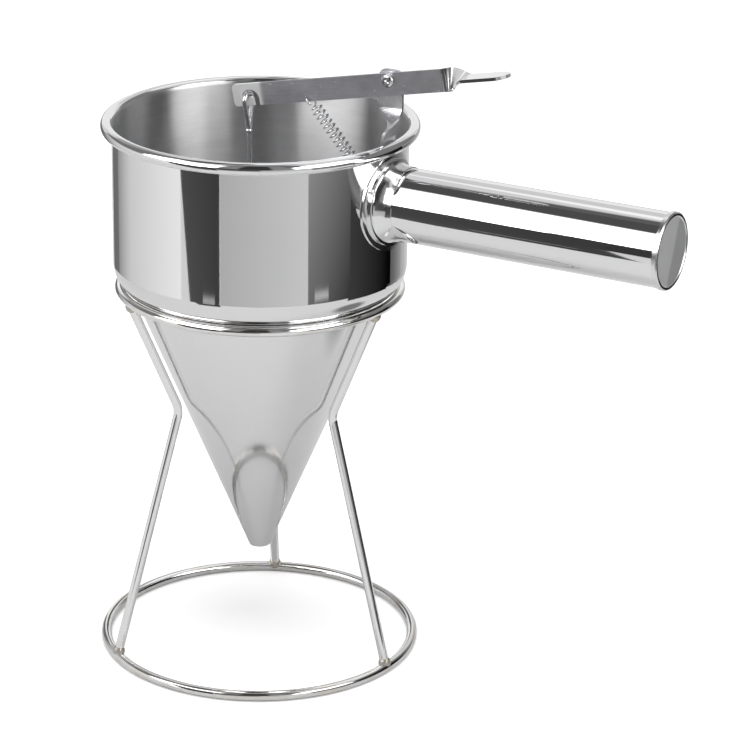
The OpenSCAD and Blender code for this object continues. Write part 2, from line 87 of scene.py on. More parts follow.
def tone(name, description, default):
    """A colour."""
    return bpy.props.FloatVectorProperty(name=name, description=description, default=default,
                                         size=3, min=0.0, max=1.0, subtype="COLOR")


def share(name, description, default, highest=1.0):
    """A plain number from nought up."""
    return bpy.props.FloatProperty(name=name, description=description, default=default,
                                   min=0.0, max=highest, subtype="FACTOR")


class DispenserSizes(bpy.types.PropertyGroup):
    """Sizes that the finishes and the finer pieces take from the real object."""

    bowl_radius: length("Bowl radius", "Outer radius of the bowl's straight wall", 67.5 * MM)
    sheet: length("Sheet", "Thickness of the bowl and cone sheet", 0.8 * MM)
    cone_slope: angle("Cone slope", "Half angle of the cone", 22.8)
    shoulder_radius: length("Shoulder radius", "Outer radius of the rounded shoulder", 15 * MM)
    handle_radius: length("Handle radius", "Outer radius of the handle tube", 16.7 * MM)
    dot_radius: length("Dot radius", "Radius of the weld dot on the collar's foot ring", 0.75 * MM)
    dot_out: length("Dot offset", "Weld dot's distance from the collar's inner end", 1.4 * MM)
    dot_turn: angle("Dot turn", "Weld dot's place above the handle's middle", 26.0)
    lever_front: length("Lever offset", "How far the lever stands in front of the axis", 3.25 * MM)
    lever_tilt: angle("Lever tilt", "Rise of the lever towards the thumb pad", 12.0)
    spring_arm: length("Spring arm", "Distance from the pivot to the spring's hole", 42.9 * MM)
    spring_drop: length("Spring drop", "Distance of the spring's hole below the pivot", 4.2 * MM)
    spring_wire: length("Spring wire", "Wire diameter of the return spring", 0.85 * MM)
    coil_diameter: length("Coil diameter", "Mean diameter of the coil", 5.1 * MM)
    coil_length: length("Coil length", "Length of the coil", 40 * MM)
    coil_turns: bpy.props.IntProperty(name="Coil turns", description="Turns in the coil",
                                      default=16, min=4)
    lever_loop: length("Lever loop", "Radius of the spring's loop in the lever", 2.8 * MM)
    tab_loop: length("Tab loop", "Radius of the spring's loop in the tab", 2 * MM)
    tab_front: length("Tab offset", "How far the tab's hole stands in front of the axis", 0.95 * MM)
    tab_rise: length("Tab middle", "Height of the hole's middle above the tab's foot", 0.75 * MM)
    # The lever's hook end beyond this distance carries a painted highlight: pale, lighter than the
    # steel and hardly metallic
    hook_highlight_reach: length("Bright hook", "Pivot to the lever's polished hook end", 66 * MM)
    bright_pad: length("Bright pad", "Pivot to the lever's polished thumb pad", 27 * MM)


class DispenserColours(bpy.types.PropertyGroup):
    """Colours of the metals and of the table."""

    mirror: tone("Mirror steel", "Polished sheet and tube", (0.82, 0.82, 0.825))
    brushed: tone("Brushed steel", "Inside of the bowl", (0.64, 0.64, 0.645))
    inner: tone("Inner cone", "Unpolished inside of the cone", (0.50, 0.50, 0.51))
    strip: tone("Strip steel", "Lever", (0.50, 0.50, 0.53))
    bracket: tone("Bracket steel", "Lever bracket", (0.60, 0.60, 0.62))
    wire: tone("Stand wire", "Drawn and polished wire", (0.88, 0.88, 0.885))
    cap: tone("Cap face", "Satin face of the end cap", (0.97, 0.97, 0.975))
    weld: tone("Weld", "Weld metal", (0.50, 0.48, 0.46))
    heat: tone("Heat tint", "Straw tint beside a weld", (0.66, 0.58, 0.45))
    screw: tone("Fasteners", "Turned screw, nut and washer", (0.72, 0.72, 0.73))
    spring: tone("Spring wire", "Bright spring wire", (0.68, 0.68, 0.69))
    floor: tone("Table", "Pale table top", (0.90, 0.90, 0.90))


class DispenserStudio(bpy.types.PropertyGroup):
    """Camera, table and light."""

    camera_azimuth: angle("Camera azimuth", "Side from which the camera looks", 30.04701)
    camera_distance: length("Camera distance", "Level distance from the axis", 1.443384)
    camera_height: length("Camera height", "Height above the table", 0.681857)
    camera_pitch: angle("Camera pitch", "How far the camera looks down", 20.82764)
    camera_turn: angle("Camera turn", "How far the camera looks past the axis", 2.1231)
    camera_roll: angle("Camera roll", "Roll of the camera", 0.8798)
    camera_lens: bpy.props.FloatProperty(name="Lens", description="Focal length on a 36 mm sensor",
                                         default=159.125, unit="CAMERA")
    lamp_power: bpy.props.FloatProperty(name="Lamp power", description="Power of the top lamp",
                                        default=30.0, min=0.0, unit="POWER")
    world_level: share("World level", "Soft light from all round", 0.45, 4.0)
    seen_lift: share("Seen lift", "Own brightness of the table for the camera", 0.45)
    mirrored_share: share("Mirrored share", "How much of the table's colour mirrors keep", 0.82)


# ---------------------------------------------------------------- shader expressions


class Flow:
    """A node socket that takes part in Python expressions."""

    def __init__(self, tree, socket=None):
        self.tree = tree
        self.socket = socket

    def node(self, kind, setup=None, inputs=None, out=0):
        """Adds a node, sets it up, then feeds its sockets with values or other flows."""
        made = self.tree.nodes.new(kind)
        for name, value in (setup or {}).items():
            setattr(made, name, value)
        for name, value in (inputs or {}).items():
            if isinstance(value, Flow):
                self.tree.links.new(value.socket, made.inputs[name])
            else:
                made.inputs[name].default_value = value
        return Flow(self.tree, made.outputs[out] if len(made.outputs) else None)

    def math(self, operation, *values):
        """A Math node over the values that it is given."""
        return self.node("ShaderNodeMath", {"operation": operation}, dict(enumerate(values)))

    def __add__(self, other):
        return self.math("ADD", self, other)

    def __radd__(self, other):
        return self.math("ADD", other, self)

    def __sub__(self, other):
        return self.math("SUBTRACT", self, other)

    def __rsub__(self, other):
        return self.math("SUBTRACT", other, self)

    def __mul__(self, other):
        return self.math("MULTIPLY", self, other)

    def __rmul__(self, other):
        return self.math("MULTIPLY", other, self)

    def __truediv__(self, other):
        return self.math("DIVIDE", self, other)

    def rise(self, low, high):
        """Goes smoothly from 0 at low to 1 at high."""
        return self.node("ShaderNodeMapRange", {"interpolation_type": "SMOOTHSTEP"},
                         {"Value": self, "From Min": low, "From Max": high})

    def border(self, limit, half):
        """Goes smoothly from 0 to 1 across a limit."""
        return self.rise(limit - half, limit + half)

    def blend(self, first, second):
        """A colour between two colours, by this value."""
        return self.node("ShaderNodeMix", {"data_type": "RGBA"},
                         {0: self, 6: first, 7: second}, out=2)

    def parts(self):
        """The three parts of a vector."""
        split = self.node("ShaderNodeSeparateXYZ", None, {0: self}).socket.node
        return [Flow(self.tree, output) for output in split.outputs]

    def vector(self, x, y, z):
        """A vector from three values."""
        return self.node("ShaderNodeCombineXYZ", None, {0: x, 1: y, 2: z})

    def noise(self, where, scale=1.0, detail=3.0, roughness=0.55):
        """Cloudy noise from 0 to 1."""
        return self.node("ShaderNodeTexNoise", None,
                         {"Vector": where, "Scale": scale, "Detail": detail,
                          "Roughness": roughness})


def rgba(colour, factor=1.0):
    """A colour with its alpha, made lighter or darker."""
    return (*[min(1.0, part * factor) for part in colour], 1.0)


def new_material(name):
    """An empty node material and a flow to build it with."""
    material = bpy.data.materials.new(name)
    material.use_nodes = True
    material.node_tree.nodes.clear()
    return material, Flow(material.node_tree)


def close(material, start, surface):
    """Leads a surface to the material's output."""
    start.node("ShaderNodeOutputMaterial", None, {"Surface": surface})
    return material


def metal(start, colour, roughness, relief, depth, anisotropy=0.0, metallic=1.0):
    """A metal surface. Colour, roughness and relief may vary over it.
    With anisotropy, brushing runs round the upright axis and draws highlights out across it."""
    normal = start.node("ShaderNodeBump", None, {"Strength": 1.0, "Distance": depth,
                                                 "Height": relief})
    return start.node("ShaderNodeBsdfPrincipled", None, {
        "Base Color": colour, "Metallic": metallic, "Roughness": roughness, "Normal": normal,
        "Anisotropic": anisotropy, "Anisotropic Rotation": 0.25})


def object_place(start):
    """The place on the object, in metres in the frame."""
    return start.node("ShaderNodeTexCoord", None, None, out=3)


def round_axis(start, across, along):
    """Direction and distance round an axis, from the two coordinates square to it."""
    turn = start.math("ARCTAN2", across, along)
    reach = start.math("SQRT", across * across + along * along)
    return turn, reach


# ---------------------------------------------------------------- finishes


def polished_sheet(name, colour, brushed, sizes, shoulder_z):
    """Bowl steel: polished outside, brushed round and round inside."""
    material, start = new_material(name)
    place = object_place(start)
    x, y, z = place.parts()
    turn, reach = round_axis(start, y, x)
    # Distance from the axis as if the shoulder were straight, so one limit parts the two sides
    middle = sizes.bowl_radius - sizes.shoulder_radius
    below = start.math("MINIMUM", z - shoulder_z, 0.0)
    side = reach - middle
    even = start.math("SQRT", side * side + below * below) + middle
    limit = sizes.bowl_radius - sizes.sheet / 2
    outside = even.border(limit, SHEET_BORDER)
    fine = start.noise(start.vector(turn * 9.0, reach * 400.0, z * 2600.0), detail=4.0)
    broad = start.noise(start.vector(turn * 3.0, reach * 100.0, z * 240.0), detail=3.0)
    clouds = start.noise(place, scale=22.0, detail=2.0)
    scuff = start.noise(start.vector(turn * 30.0, z * 60.0, reach * 60.0), detail=5.0)
    polish = 0.035 + 0.05 * clouds * clouds + 0.05 * scuff.rise(0.62, 0.8)
    smooth = metal(start, clouds.blend(rgba(colour, 0.95), rgba(colour)), polish,
                   fine * 0.02 + clouds * 0.6, 0.05 * MM)
    tint = (0.5 * fine + 0.5 * broad).rise(0.25, 0.75)
    ground = metal(start, tint.blend(rgba(brushed, 0.92), rgba(brushed, 1.05)),
                   0.30 + 0.04 * broad, fine * 0.12 + broad * 0.02, 0.05 * MM, anisotropy=1.0)
    return close(material, start, start.node("ShaderNodeMixShader", None,
                                             {0: outside, 1: ground, 2: smooth}))


def cone_steel(name, colour, inner, sizes, seam):
    """Cone steel: bright outside with faint marks down its slope, dull and unpolished inside."""
    material, start = new_material(name)
    place = object_place(start)
    x, y, z = place.parts()
    turn, reach = round_axis(start, y, x)
    # How far a point lies outside the middle of the sheet
    seam_radius, seam_z = seam
    slope = math.tan(sizes.cone_slope)
    middle = seam_radius - sizes.sheet / 2 / math.cos(sizes.cone_slope)
    outside = (reach - middle + (seam_z - z) * slope).border(0.0, SHEET_BORDER)
    lines = start.noise(start.vector(turn * 60.0, z * 12.0, 0.0), detail=3.0)
    rings = start.noise(start.vector(turn * 4.0, 0.0, z * 1500.0), detail=3.0)
    clouds = start.noise(place, scale=30.0, detail=2.0)
    polish = 0.05 + 0.05 * clouds + 0.03 * lines.rise(0.5, 0.8)
    roughness = outside * polish + (1.0 - outside) * (0.5 + 0.1 * rings)
    marks = 0.5 * lines + 0.5 * clouds
    shade = outside.blend(rings.blend(rgba(inner, 0.92), rgba(inner, 1.08)),
                          marks.blend(rgba(colour, 0.93), rgba(colour, 1.02)))
    relief = outside * (clouds * 0.7 + lines * 0.1) + rings * 0.03
    return close(material, start, metal(start, shade, roughness, relief, 0.04 * MM))


def tube_steel(name, colour, polish):
    """Handle tube and its root: mirror polish drawn along its length."""
    material, start = new_material(name)
    place = object_place(start)
    x, y, z = place.parts()
    drawn = start.noise(start.vector(x * 14.0, y * 900.0, z * 900.0), detail=3.0)
    clouds = start.noise(start.vector(x * 12.0, y * 40.0, z * 40.0), detail=2.0)
    specks = start.noise(place, scale=700.0, detail=2.0)
    roughness = polish + 0.04 * clouds + 0.08 * specks.rise(0.72, 0.8)
    shade = clouds.blend(rgba(colour, 0.97), rgba(colour, 1.03))
    relief = drawn * 0.03 + clouds
    return close(material, start, metal(start, shade, roughness, relief, 0.06 * MM))


def cap_steel(name, colour, rim, radius, height, face_x):
    """End cap: a bright rolled rim round a satin face."""
    material, start = new_material(name)
    place = object_place(start)
    x, y, z = place.parts()
    _, reach = round_axis(start, y, z - height)
    flat = 1.0 - reach.rise(radius - 1.5 * MM, radius - 1.2 * MM)
    face = flat * x.rise(face_x - 2 * MM, face_x - 1 * MM)
    grain = start.noise(place, scale=1500.0, detail=3.0)
    clouds = start.noise(place, scale=60.0, detail=3.0)
    scratches = start.noise(start.vector(y * 1800.0, z * 90.0, x), detail=3.0).rise(0.6, 0.75)
    # Painted shade: the satin face darkens towards its back and its lower edge, with a cloudy
    # border
    wear_and_shade = (y * 0.9 - (z - height) * 0.35 + clouds * 2 * MM).rise(1.5 * MM, 4.5 * MM)
    satin = wear_and_shade.blend(clouds.blend(rgba(colour, 0.92), rgba(colour)), rgba(colour, 0.72))
    bright = grain.blend(rgba(rim, 0.94), rgba(rim))
    roughness = face * (0.55 + 0.1 * grain - 0.05 * scratches) + (1.0 - face) * 0.24
    relief = face * (grain * 0.6 + scratches * 0.4)
    return close(material, start, metal(start, face.blend(bright, satin), roughness, relief,
                                        0.02 * MM))


def strip_steel(name, colour, bright, tilt, grey_run):
    """Lever and bracket strip: rolled steel with marks along it and small nicks. It is grey
    between two distances along it, has a painted highlight before them, pale, lighter than the
    steel and hardly metallic, and is polished beyond them."""
    material, start = new_material(name)
    place = object_place(start)
    x, y, z = place.parts()
    along = x * math.cos(tilt) + z * math.sin(tilt)
    across = z * math.cos(tilt) - x * math.sin(tilt)
    rolled = start.noise(start.vector(along * 120.0, y * 1500.0, across * 1500.0), detail=4.0)
    mottle = start.noise(place, scale=160.0, detail=4.0, roughness=0.6)
    drift = start.noise(start.vector(along * 55.0, 0.0, across * 20.0), detail=1.0)
    nicks = start.noise(start.vector(along * 260.0, y * 500.0, across * 620.0), detail=2.0)
    # Small bright nicks where the strip is worn
    wear_and_shade = nicks.rise(0.66, 0.72)
    first, last = grey_run
    # The hook end is a painted highlight: lighter than the steel, and made hardly metallic at the
    # end
    hook = 1.0 - along.border(first, 1.5 * MM)
    pad = along.border(last, 1 * MM)
    grey = 1.0 - hook - pad
    marks = (0.35 * rolled + 0.3 * mottle + 0.35 * drift).rise(0.32, 0.68)
    dull = marks.blend(rgba(colour, 0.84), rgba(colour, 1.16))
    shine = marks.blend(rgba(bright, 0.94), rgba(bright))
    # Painted highlight: the hook end takes a colour lighter than the polished steel
    shine = hook.blend(shine, rgba(bright, 1.18))
    shade = (wear_and_shade * 0.8).blend(grey.blend(shine, dull), rgba(bright))
    roughness = grey * (0.26 + 0.14 * mottle) + hook * 0.34 + pad * (0.03 + 0.04 * mottle)
    relief = rolled * 0.3 + mottle * 0.3 - wear_and_shade * 0.4
    return close(material, start, metal(start, shade, roughness, relief, 0.04 * MM,
                                        metallic=1.0 - 0.8 * hook))


def wire_steel(name, colour, heat, weld_heights, reach):
    """Stand wire: drawn bright, with a straw tint close to its welds."""
    material, start = new_material(name)
    place = object_place(start)
    _, _, z = place.parts()
    ripple = start.noise(place, scale=90.0, detail=2.0)
    drawn = start.noise(place, scale=900.0, detail=3.0)
    near = sum(1.0 - start.math("ABSOLUTE", z - height).rise(0.0, reach)
               for height in weld_heights)
    tint = near * ripple.rise(0.35, 0.7) * 0.35
    shade = tint.blend(drawn.blend(rgba(colour, 0.94), rgba(colour)), rgba(heat))
    roughness = 0.03 + 0.03 * ripple + 0.03 * drawn
    relief = ripple * 0.6 + drawn * 0.05
    return close(material, start, metal(start, shade, roughness, relief, 0.03 * MM))


def weld_metal(name, colour, heat):
    """Weld beads: rippled and a little stained."""
    material, start = new_material(name)
    place = object_place(start)
    ripple = start.noise(place, scale=1300.0, detail=2.0)
    stain = start.noise(place, scale=300.0, detail=4.0)
    shade = stain.rise(0.35, 0.7).blend(rgba(colour), rgba(heat))
    roughness = 0.22 + 0.2 * stain
    return close(material, start, metal(start, shade, roughness, ripple, 0.25 * MM))


def turned_steel(name, colour, centre_x, centre_z):
    """Screw, washer and nut: lathe marks round the pivot."""
    material, start = new_material(name)
    place = object_place(start)
    x, y, z = place.parts()
    turn, reach = round_axis(start, x - centre_x, z - centre_z)
    rings = start.noise(start.vector(turn * 0.6, reach * 6000.0, y * 3000.0), detail=2.0)
    wear = start.noise(place, scale=500.0, detail=4.0)
    shade = wear.blend(rgba(colour, 0.8), rgba(colour, 1.1))
    return close(material, start, metal(start, shade, 0.14 + 0.16 * wear, rings, 0.02 * MM))


def drawn_wire(name, colour, scale):
    """Valve rod, plug and spring: bright wire with fine marks."""
    material, start = new_material(name)
    place = object_place(start)
    marks = start.noise(place, scale=scale, detail=4.0)
    bands = start.noise(place, scale=scale / 6, detail=2.0)
    shade = marks.blend(rgba(colour, 0.86), rgba(colour, 1.1))
    return close(material, start, metal(start, shade, 0.12 + 0.14 * bands, marks, 0.02 * MM))


# ---------------------------------------------------------------- meshes


def add_piece(name, mesh_maker, material, body):
    """Makes a piece from a bmesh function, gives it its finish and lets it ride on a body."""
    mesh = bpy.data.meshes.new(name)
    shape = bmesh.new()
    mesh_maker(shape)
    bmesh.ops.recalc_face_normals(shape, faces=shape.faces)
    shape.to_mesh(mesh)
    shape.free()
    mesh.polygons.foreach_set("use_smooth", [True] * len(mesh.polygons))
    piece = bpy.data.objects.new(name, mesh)
    bpy.context.scene.collection.objects.link(piece)
    mesh.materials.append(material)
    if body:
        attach(piece, body)
    return piece


def ring_of(shape, centre, across, along, sides):
    """Vertices of a ring round a centre, from two arrows to its edge."""
    angles = [2 * math.pi * k / sides for k in range(sides)]
    return [shape.verts.new(centre + across * math.cos(a) + along * math.sin(a)) for a in angles]


def join_rings(shape, rings):
    """Faces between each ring and the next."""
    for first, second in zip(rings, rings[1:]):
        sides = len(first)
        for k in range(sides):
            after = (k + 1) % sides
            shape.faces.new((first[k], first[after], second[after], second[k]))


def sweep(shape, points, radius, sides):
    """Sweeps a round wire with domed ends along a list of points."""
    count = len(points)
    dome = radius * 0.6
    normal = None
    rings = []
    for i, point in enumerate(points):
        run = (points[min(i + 1, count - 1)] - points[max(i - 1, 0)]).normalized()
        seed = normal if normal is not None else Vector((0.3, 1.0, 0.2))
        normal = (seed - run * seed.dot(run)).normalized()
        other = run.cross(normal)
        rings.append(ring_of(shape, point, normal * radius, other * radius, sides))
    join_rings(shape, rings)
    for ring, end, inner in ((rings[0], points[0], points[1]), (rings[-1], points[-1], points[-2])):
        tip = shape.verts.new(end + (end - inner).normalized() * dome)
        for k in range(sides):
            shape.faces.new((ring[k], ring[(k + 1) % sides], tip))


def weld_dot(shape, sizes):
    """A small ring of weld with a sunken middle, on the front of the collar's foot ring."""
    low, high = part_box("handle_collar")
    turn, radius = sizes.dot_turn, sizes.dot_radius
    out = Vector((0.0, -math.cos(turn), math.sin(turn)))
    across = Vector((0.0, math.sin(turn), math.cos(turn)))
    along = Vector((1.0, 0.0, 0.0))
    centre = Vector((low.x + sizes.dot_out, 0.0, (low.z + high.z) / 2))
    centre += out * (high.z - low.z) / 2
    # Height over the ring and reach from the dot's middle, in radii, from its edge inwards
    profile = ((-0.25, 1.0), (0.1, 0.95), (0.28, 0.72), (0.1, 0.48), (0.03, 0.2))
    rings = [ring_of(shape, centre + out * height * radius, along * reach * radius,
                     across * reach * radius, 24) for height, reach in profile]
    join_rings(shape, rings)
    shape.faces.new(rings[-1])
    shape.faces.new(rings[0])


def finish_node(name, material):
    """Gives a CAD node its finish."""
    node = NODES[name]
    if not node.material_slots:
        node.data.materials.append(material)
    for slot in node.material_slots:
        slot.material = material


def wire_turn(centre, across, along, radius, first, last, steps):
    """Points of a wire loop round a centre, between two angles in degrees."""
    angles = [math.radians(first + (last - first) * i / steps) for i in range(steps + 1)]
    return [centre + (across * math.cos(a) + along * math.sin(a)) * radius for a in angles]


def wire_link(start, leaving, end, arriving, steps):
    """Points of a smooth run of wire between two places, without its ends."""
    pull = (end - start).length / 2
    second = start + leaving * pull
    third = end - arriving * pull
    points = []
    for i in range(1, steps):
        t = i / steps
        points.append(start * (1 - t) ** 3 + second * (3 * t * (1 - t) ** 2)
                      + third * (3 * t * t * (1 - t)) + end * t ** 3)
    return points


def middle_of(name):
    """Middle of a CAD node."""
    low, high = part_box(name)
    return (Vector(low) + Vector(high)) / 2


def lever_eye(sizes):
    """Middle of the spring's hole in the lever, at rest."""
    arm, drop, tilt = sizes.spring_arm, sizes.spring_drop, sizes.lever_tilt
    pivot = middle_of("pivot_washer")
    return Vector((pivot.x - arm * math.cos(tilt) + drop * math.sin(tilt), -sizes.lever_front,
                   pivot.z - arm * math.sin(tilt) - drop * math.cos(tilt)))


def tab_eye(sizes):
    """Middle of the spring's hole in the bracket's tab."""
    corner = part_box("lever_bracket")[0]
    return Vector((corner.x + sizes.tab_loop, -sizes.tab_front, corner.z + sizes.tab_rise))


def spring_points(sizes):
    """The spring's wire: a loop through the lever, the coil, and a loop through the tab."""
    top, bottom = lever_eye(sizes), tab_eye(sizes)
    axis = (bottom - top).normalized()
    side = Vector((0.0, 1.0, 0.0))
    side = (side - axis * side.dot(axis)).normalized()
    up = side.cross(axis)
    lead = ((bottom - top).length - sizes.coil_length) / 2
    begin = top + axis * lead
    # Where the two end loops begin and end, in degrees
    lever_first, lever_last = 215.0, -60.0
    tab_first, tab_last = 150.0, -100.0
    per_turn, per_loop, per_link = 28, 30, 10
    count = per_turn * sizes.coil_turns
    coil = []
    for i in range(count + 1):
        a = math.radians(180 + 360 * i / per_turn)
        coil.append(begin + axis * (sizes.coil_length * i / count)
                    + (side * math.cos(a) + up * math.sin(a)) * sizes.coil_diameter / 2)
    first = wire_turn(top + axis * sizes.lever_loop, side, -axis, sizes.lever_loop,
                      lever_first, lever_last, per_loop)
    last = wire_turn(bottom - Vector((sizes.tab_loop, 0.0, 0.0)), Vector((1.0, 0.0, 0.0)),
                     Vector((0.0, 0.0, 1.0)), sizes.tab_loop, tab_first, tab_last, per_loop)
    a, b = math.radians(lever_last), math.radians(tab_first)
    leaving = side * math.sin(a) + axis * math.cos(a)
    arriving = Vector((math.sin(b), 0.0, -math.cos(b)))
    lead_in = wire_link(first[-1], leaving, coil[0], -up, per_link)
    lead_out = wire_link(coil[-1], -up, last[0], arriving, per_link)
    return first + lead_in + coil + lead_out + last


# ---------------------------------------------------------------- operators


def settings(context):
    """The three groups of settings."""
    scene = context.scene
    return scene.dispenser_sizes, scene.dispenser_colours, scene.dispenser_studio


class DISPENSER_OT_funnel(bpy.types.Operator):
    """Polish the bowl and cone"""

    bl_idname = "dispenser.funnel"
    bl_label = "Funnel"

    def execute(self, context):
        sizes, colours, _ = settings(context)
        low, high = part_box("cone")
        seam = ((high.x - low.x) / 2, high.z)
        shoulder_z = high.z + sizes.shoulder_radius * math.sin(SHOULDER_TURN)
        finish_node("bowl", polished_sheet("bowl_steel", colours.mirror, colours.brushed, sizes,
                                           shoulder_z))
        finish_node("cone", cone_steel("cone_steel", colours.mirror, colours.inner, sizes, seam))
        return {"FINISHED"}


class DISPENSER_OT_handle(bpy.types.Operator):
    """Polish the handle and its root, and finish its end cap"""

    bl_idname = "dispenser.handle"
    bl_label = "Handle"

    def execute(self, context):
        sizes, colours, _ = settings(context)
        finish_node("handle_tube", tube_steel("tube_steel", colours.mirror, TUBE_POLISH))
        root = tube_steel("root_steel", colours.mirror, ROOT_POLISH)
        for name in ("handle_plate", "handle_collar"):
            finish_node(name, root)
        add_piece("weld_dot", lambda shape: weld_dot(shape, sizes),
                  weld_metal("dot_weld", colours.weld, colours.weld), "funnel")
        low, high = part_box("handle_cap")
        finish_node("handle_cap", cap_steel("cap_steel", colours.cap, colours.mirror,
                                            sizes.handle_radius, (low.z + high.z) / 2, high.x))
        return {"FINISHED"}


class DISPENSER_OT_lever(bpy.types.Operator):
    """Finish the lever, its bracket, the welds and the pivot pieces"""

    bl_idname = "dispenser.lever"
    bl_label = "Lever and bracket"

    def execute(self, context):
        sizes, colours, _ = settings(context)
        tilt = sizes.lever_tilt
        pivot = middle_of("pivot_washer")
        pivot_along = pivot.x * math.cos(tilt) + pivot.z * math.sin(tilt)
        grey_run = (pivot_along - sizes.hook_highlight_reach, pivot_along + sizes.bright_pad)
        finish_node("lever", strip_steel("lever_steel", colours.strip, colours.mirror, tilt,
                                         grey_run))
        grey_run = (0.0, pivot.z + sizes.bright_pad)
        finish_node("lever_bracket", strip_steel("bracket_steel", colours.bracket, colours.mirror,
                                                 math.pi / 2, grey_run))
        finish_node("bracket_welds", weld_metal("bracket_weld", colours.weld, colours.heat))
        screw = turned_steel("turned_steel", colours.screw, pivot.x, pivot.z)
        for name in ("pivot_screw", "pivot_washer", "pivot_nut"):
            finish_node(name, screw)
        return {"FINISHED"}


class DISPENSER_OT_valve(bpy.types.Operator):
    """Finish the valve rod and plug"""

    bl_idname = "dispenser.valve"
    bl_label = "Valve"

    def execute(self, context):
        _, colours, _ = settings(context)
        rod = drawn_wire("rod_steel", colours.screw, 900.0)
        for name in ("valve_rod", "valve_plug"):
            finish_node(name, rod)
        return {"FINISHED"}


class DISPENSER_OT_spring(bpy.types.Operator):
    """Coil the return spring in smooth wire"""

    bl_idname = "dispenser.spring"
    bl_label = "Return spring"

    def execute(self, context):
        sizes, colours, _ = settings(context)
        points = spring_points(sizes)
        spring = add_piece("spring_coil",
                           lambda shape: sweep(shape, points, sizes.spring_wire / 2, 10),
                           drawn_wire("spring_steel", colours.spring, 1600.0), None)
        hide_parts("return_spring")
        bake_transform(spring)
        return {"FINISHED"}


class DISPENSER_OT_stand(bpy.types.Operator):
    """Polish the stand's wire and colour its welds"""

    bl_idname = "dispenser.stand"
    bl_label = "Stand"

    def execute(self, context):
        _, colours, _ = settings(context)
        rings = ("upper_ring", "base_ring")
        heights = [sum(corner.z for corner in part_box(name)) / 2 for name in rings]
        wire = wire_steel("stand_wire", colours.wire, colours.heat, heights, 14 * MM)
        for name in (*rings, "right_leg", "back_leg", "left_leg"):
            finish_node(name, wire)
        weld = weld_metal("stand_weld", colours.weld, colours.heat)
        for name in ("upper_welds", "base_welds"):
            finish_node(name, weld)
        return {"FINISHED"}


# ---------------------------------------------------------------- studio


# Cards that the steel mirrors: two sides in degrees at the foot and at the top, the brightness at
# each side at the foot and at the top, the distance from the axis, and the heights of the foot and
# of the top in metres
CARDS = (
    ("front_foot", (-106.0, -89.0), (-121.5, -89.0), (0.09, 0.05), (0.08, 0.05),
     0.43, (0.001, 0.160)),
    ("front_flag", (-121.0, -89.0), (-124.0, -89.0), (0.08, 0.05), (0.08, 0.05),
     0.431, (0.155, 0.305)),
    ("upper_flag", (-97.0, -60.0), (-97.0, -60.0), (0.03, 0.10), (0.03, 0.10),
     0.50, (0.132, 0.335)),
    ("grey_card", (-89.0, -25.0), (-89.0, -26.0), (0.50, 0.68), (0.50, 0.68),
     0.52, (0.001, 0.200)),
    ("side_foot", (-25.0, 16.0), (-25.5, 16.0), (0.14, 0.00), (0.32, 0.12),
     0.54, (0.001, 0.115)),
    ("side_flag", (-25.5, 16.0), (-26.0, 16.0), (0.32, 0.12), (0.18, 0.07),
     0.545, (0.110, 0.260)),
    ("black_card", (8.0, 52.0), (8.0, 50.0), (0.05, 0.00), (0.05, 0.00),
     0.42, (0.001, 0.260)),
    ("left_glint", (-101.5, -92.5), (-101.5, -92.5), (0.50, 0.50), (0.50, 0.50),
     0.425, (0.060, 0.065)),
    ("right_glint", (-20.0, -9.0), (-20.0, -9.0), (0.60, 0.60), (0.60, 0.60),
     0.52, (0.029, 0.034)),
    ("back_card", (51.0, 74.0), (49.0, 74.0), (0.03, 0.36), (0.03, 0.36),
     0.45, (0.001, 0.200)),
    ("pale_card", (74.0, 116.0), (74.0, 116.0), (0.42, 0.90), (0.42, 0.90),
     0.47, (0.001, 0.200)),
    ("rim_card", (112.0, 132.0), (112.0, 132.0), (0.12, 0.12), (0.12, 0.12),
     0.46, (0.170, 0.300)),
    ("left_flag", (145.0, 163.5), (145.0, 163.5), (0.15, 0.18), (0.15, 0.18),
     0.53, (0.001, 0.260)),
    ("left_edge", (163.5, 186.0), (163.5, 186.0), (0.32, 0.70), (0.32, 0.70),
     0.54, (0.001, 0.300)),
    ("left_card", (185.0, 240.0), (185.0, 240.0), (0.70, 0.97), (0.70, 0.97),
     0.55, (0.001, 0.300)),
)
# About how many degrees of a card one flat strip of it spans
CARD_STEP = 3.0

# Patches of wall and ceiling that the steel mirrors: middle side and half width in degrees,
# lowest and highest place above the level in degrees, and brightness. A later patch covers an
# earlier one.
PATCHES = (
    ("back_wall", (118.0, 26.0), (-5.0, 26.0), 0.95),
    ("back_upper", (118.0, 26.0), (26.0, 46.0), 0.70),
    ("zenith", (0.0, 180.0), (77.0, 95.0), 0.35),
    ("back_top", (100.0, 32.0), (46.0, 72.0), 1.10),
    ("left_ceiling", (-162.0, 32.0), (54.0, 78.0), 0.08),
    ("back_ceiling", (150.0, 26.0), (62.0, 80.0), 0.12),
    ("front_ceiling", (-62.0, 44.0), (36.0, 76.0), 0.14),
    ("left_end", (-178.0, 26.0), (10.0, 58.0), 0.20),
    ("back_corner", (150.0, 16.0), (29.0, 46.0), 0.40),
    ("right_corner", (50.0, 32.0), (-5.0, 44.0), 0.22),
    ("right_upper", (-7.0, 20.0), (32.0, 47.0), 2.80),
    ("right_box", (-10.5, 25.5), (6.0, 32.0), 4.60),
    ("left_upper", (-121.0, 30.0), (36.0, 56.0), 2.20),
    ("left_box", (-121.0, 30.0), (8.0, 36.0), 4.60),
    ("front_grey", (-64.0, 27.0), (-5.0, 62.0), 0.26),
    ("twist_shade", (-34.0, 6.0), (31.0, 60.0), 0.16),
    ("front_gap", (-64.0, 12.0), (-5.0, 70.0), 0.04),
)
# The brightness of the wall between them, and half the soft border of a patch
WALL_LEVEL = 0.75
PATCH_EDGE = math.radians(2.0)

